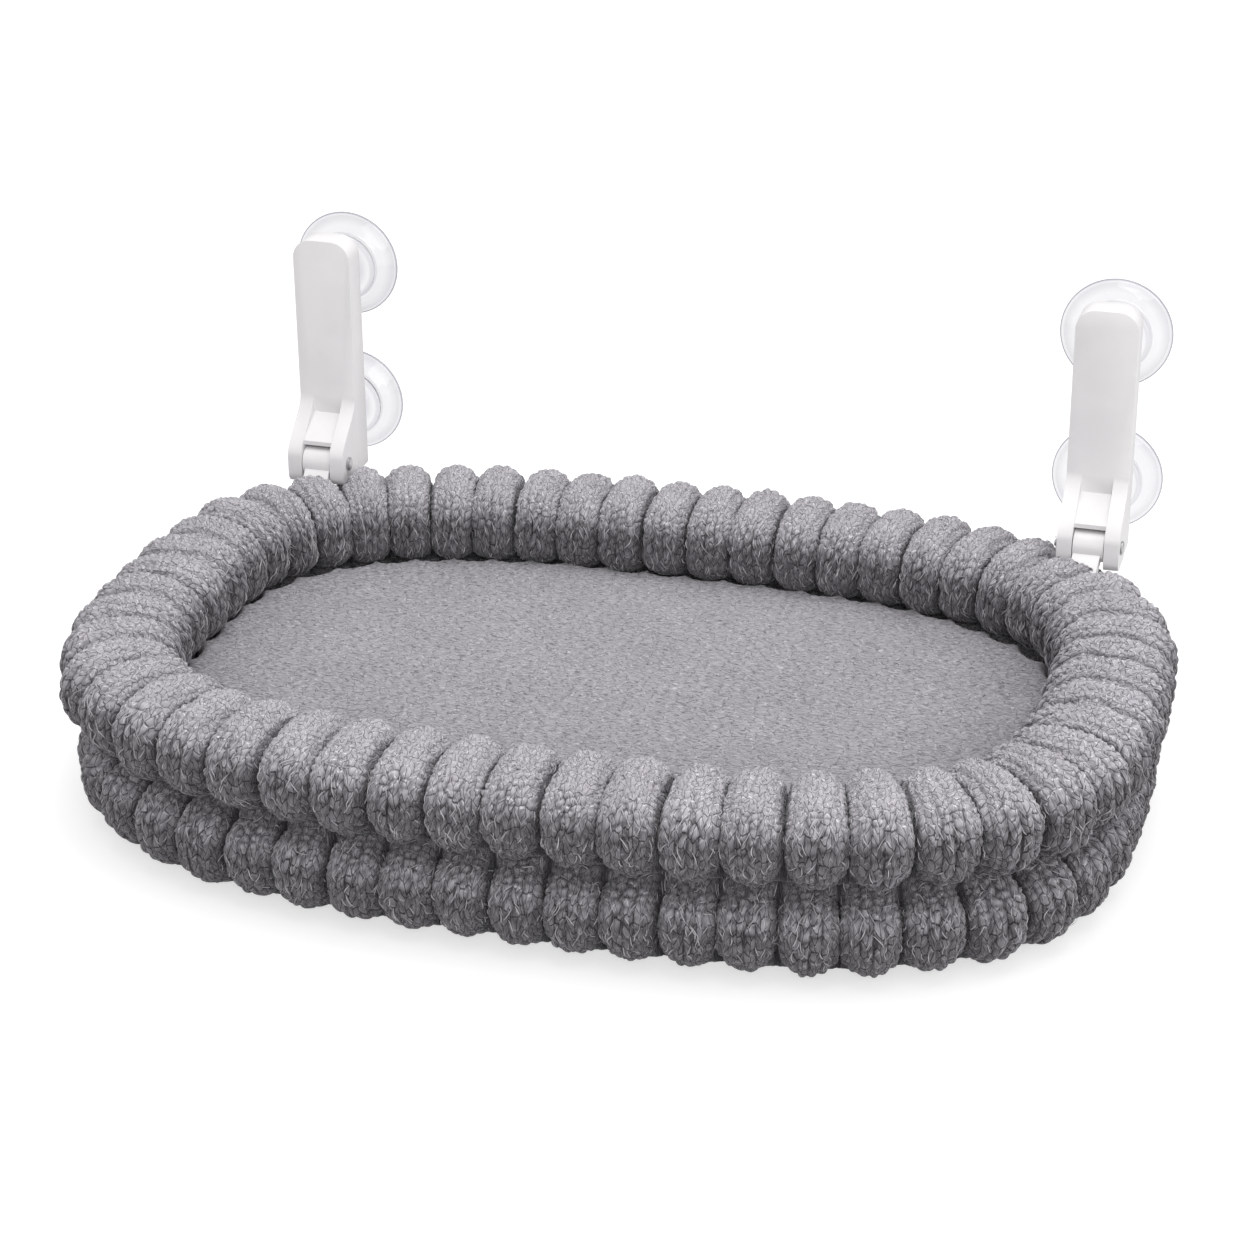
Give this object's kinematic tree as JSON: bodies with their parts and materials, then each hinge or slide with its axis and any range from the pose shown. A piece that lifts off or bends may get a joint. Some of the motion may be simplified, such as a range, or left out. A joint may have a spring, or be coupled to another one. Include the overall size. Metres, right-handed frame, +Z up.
{
  "type": "cat window bed",
  "caption": "Oval plush cat bed with channelled bolsters and a fleece pad, hung from a window by folding brackets with suction cups.",
  "frame": {"origin": "centre of the whole part's footprint, on the surface that the bed stands on", "axes": "+X along the window, +Y towards the glass, +Z up"},
  "size_m": [0.56, 0.393, 0.229],
  "materials": {
    "plush": "chenille fleece pile, matte",
    "pad_fleece": "short fleece pile, matte",
    "cover_fabric": "plain woven fabric",
    "board": "bare board",
    "steel_tube": "grey powder coat",
    "joiner_plastic": "moulded",
    "white_plastic": "satin moulded",
    "pin_steel": "plain steel",
    "clear_pvc": "clear, glossy"
  },
  "bodies": {
    "bed": {"upper_bolster": "plush", "lower_bolster": "plush", "bed_pad": "pad_fleece", "base_board": "board", "bottom_cover": "cover_fabric", "frame_tube_left": "steel_tube", "frame_tube_right": "steel_tube", "frame_joiner_front": "joiner_plastic", "frame_joiner_back": "joiner_plastic", "hinge_arm_left": "white_plastic", "hinge_arm_right": "white_plastic"},
    "left_bracket": {"bracket_shell_left": "white_plastic", "bracket_back_left": "white_plastic", "hinge_pin_left": "pin_steel", "pin_retainer_left": "pin_steel", "upper_cup_left": "clear_pvc", "lower_cup_left": "clear_pvc", "upper_screw_left": "pin_steel", "lower_screw_left": "pin_steel"},
    "right_bracket": {"bracket_shell_right": "white_plastic", "bracket_back_right": "white_plastic", "hinge_pin_right": "pin_steel", "pin_retainer_right": "pin_steel", "upper_cup_right": "clear_pvc", "lower_cup_right": "clear_pvc", "upper_screw_right": "pin_steel", "lower_screw_right": "pin_steel"}
  },
  "joints": [
    {"name": "left_bracket_fold", "type": "hinge", "parent": "bed", "child": "left_bracket", "pos_m": [-0.218, 0.1425, 0.099], "axis": [1, 0, 0], "range_deg": [0, 90]},
    {"name": "right_bracket_fold", "type": "hinge", "parent": "bed", "child": "right_bracket", "pos_m": [0.218, 0.1425, 0.099], "axis": [1, 0, 0], "range_deg": [0, 90]}
  ]
}
